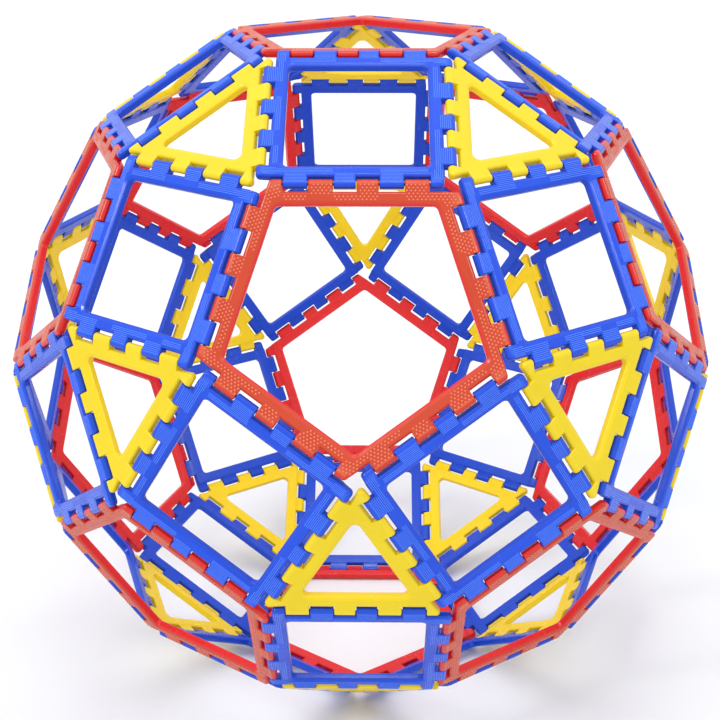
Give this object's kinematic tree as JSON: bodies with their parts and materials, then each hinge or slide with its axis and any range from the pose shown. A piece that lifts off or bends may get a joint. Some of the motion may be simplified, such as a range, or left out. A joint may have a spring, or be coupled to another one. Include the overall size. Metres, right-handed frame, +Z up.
{
  "type": "ball climber",
  "caption": "Hollow climbing ball of clip-together plastic frame panels, pentagons, squares and triangles, hinged on their interleaved edge fingers.",
  "frame": {"origin": "on the floor under the ball's centre, at the underside of the base pentagon", "axes": "+Z up, -Y towards the front, where an upper pentagon points its corner down"},
  "size_m": [1.3296, 1.39, 1.2965],
  "materials": {
    "red_plastic": "semi-gloss moulded plastic with a field of small raised bumps",
    "blue_plastic": "semi-gloss moulded plastic with fine parallel ribs",
    "yellow_plastic": "smooth semi-gloss moulded plastic"
  },
  "bodies": {
    "ball_frame": {"base_pentagon": "red_plastic", "crown_square_1": "blue_plastic", "crown_square_2": "blue_plastic", "crown_square_3": "blue_plastic", "crown_square_4": "blue_plastic", "crown_square_5": "blue_plastic", "shoulder_square_1": "blue_plastic", "shoulder_square_2": "blue_plastic", "shoulder_square_3": "blue_plastic", "shoulder_square_4": "blue_plastic", "shoulder_square_5": "blue_plastic", "hip_square_1": "blue_plastic", "hip_square_2": "blue_plastic", "hip_square_3": "blue_plastic", "hip_square_4": "blue_plastic", "hip_square_5": "blue_plastic", "foot_square_1": "blue_plastic", "foot_square_2": "blue_plastic", "foot_square_3": "blue_plastic", "foot_square_4": "blue_plastic", "foot_square_5": "blue_plastic", "crown_triangle_1": "yellow_plastic", "crown_triangle_2": "yellow_plastic", "crown_triangle_3": "yellow_plastic", "crown_triangle_4": "yellow_plastic", "crown_triangle_5": "yellow_plastic", "upper_triangle_1": "yellow_plastic", "upper_triangle_2": "yellow_plastic", "upper_triangle_3": "yellow_plastic", "upper_triangle_4": "yellow_plastic", "upper_triangle_5": "yellow_plastic", "lower_triangle_1": "yellow_plastic", "lower_triangle_2": "yellow_plastic", "lower_triangle_3": "yellow_plastic", "lower_triangle_4": "yellow_plastic", "lower_triangle_5": "yellow_plastic", "waist_square_1": "blue_plastic", "waist_square_2": "blue_plastic", "waist_square_3": "blue_plastic", "waist_square_4": "blue_plastic", "waist_square_5": "blue_plastic", "waist_square_6": "blue_plastic", "waist_square_7": "blue_plastic", "waist_square_8": "blue_plastic", "waist_square_9": "blue_plastic", "waist_square_10": "blue_plastic", "foot_triangles": "yellow_plastic"},
    "top_hatch_panel": {"top_pentagon": "red_plastic"},
    "upper_hatch_1_panel": {"upper_pentagon_1": "red_plastic"},
    "upper_hatch_2_panel": {"upper_pentagon_2": "red_plastic"},
    "upper_hatch_3_panel": {"upper_pentagon_3": "red_plastic"},
    "upper_hatch_4_panel": {"upper_pentagon_4": "red_plastic"},
    "upper_hatch_5_panel": {"upper_pentagon_5": "red_plastic"},
    "lower_hatch_1_panel": {"lower_pentagon_1": "red_plastic"},
    "lower_hatch_2_panel": {"lower_pentagon_2": "red_plastic"},
    "lower_hatch_3_panel": {"lower_pentagon_3": "red_plastic"},
    "lower_hatch_4_panel": {"lower_pentagon_4": "red_plastic"},
    "lower_hatch_5_panel": {"lower_pentagon_5": "red_plastic"}
  },
  "joints": [
    {"name": "top_hatch", "type": "hinge", "parent": "ball_frame", "child": "top_hatch_panel", "pos_m": [-0.1254, 0.17259, 1.28828], "axis": [-0.809, -0.5878, 0], "range_deg": [0, 110]},
    {"name": "upper_hatch_1", "type": "hinge", "parent": "ball_frame", "child": "upper_hatch_1_panel", "pos_m": [0, -0.47704, 1.12531], "axis": [-1, 0, 0], "range_deg": [0, 120]},
    {"name": "upper_hatch_2", "type": "hinge", "parent": "ball_frame", "child": "upper_hatch_2_panel", "pos_m": [0.45369, -0.14741, 1.12531], "axis": [-0.309, -0.9511, 0], "range_deg": [0, 120]},
    {"name": "upper_hatch_3", "type": "hinge", "parent": "ball_frame", "child": "upper_hatch_3_panel", "pos_m": [0.2804, 0.38593, 1.12531], "axis": [0.809, -0.5878, 0], "range_deg": [0, 120]},
    {"name": "upper_hatch_4", "type": "hinge", "parent": "ball_frame", "child": "upper_hatch_4_panel", "pos_m": [-0.2804, 0.38593, 1.12531], "axis": [0.809, 0.5878, 0], "range_deg": [0, 120]},
    {"name": "upper_hatch_5", "type": "hinge", "parent": "ball_frame", "child": "upper_hatch_5_panel", "pos_m": [-0.45369, -0.14741, 1.12531], "axis": [-0.309, 0.9511, 0], "range_deg": [0, 120]},
    {"name": "lower_hatch_1", "type": "hinge", "parent": "ball_frame", "child": "lower_hatch_1_panel", "pos_m": [0.2804, -0.38593, 0.17123], "axis": [0.809, 0.5878, 0], "range_deg": [0, 80]},
    {"name": "lower_hatch_2", "type": "hinge", "parent": "ball_frame", "child": "lower_hatch_2_panel", "pos_m": [0.45369, 0.14741, 0.17123], "axis": [-0.309, 0.9511, 0], "range_deg": [0, 80]},
    {"name": "lower_hatch_3", "type": "hinge", "parent": "ball_frame", "child": "lower_hatch_3_panel", "pos_m": [0, 0.47704, 0.17123], "axis": [-1, 0, 0], "range_deg": [0, 80]},
    {"name": "lower_hatch_4", "type": "hinge", "parent": "ball_frame", "child": "lower_hatch_4_panel", "pos_m": [-0.45369, 0.14741, 0.17123], "axis": [-0.309, -0.9511, 0], "range_deg": [0, 80]},
    {"name": "lower_hatch_5", "type": "hinge", "parent": "ball_frame", "child": "lower_hatch_5_panel", "pos_m": [-0.2804, -0.38593, 0.17123], "axis": [0.809, -0.5878, 0], "range_deg": [0, 80]}
  ]
}
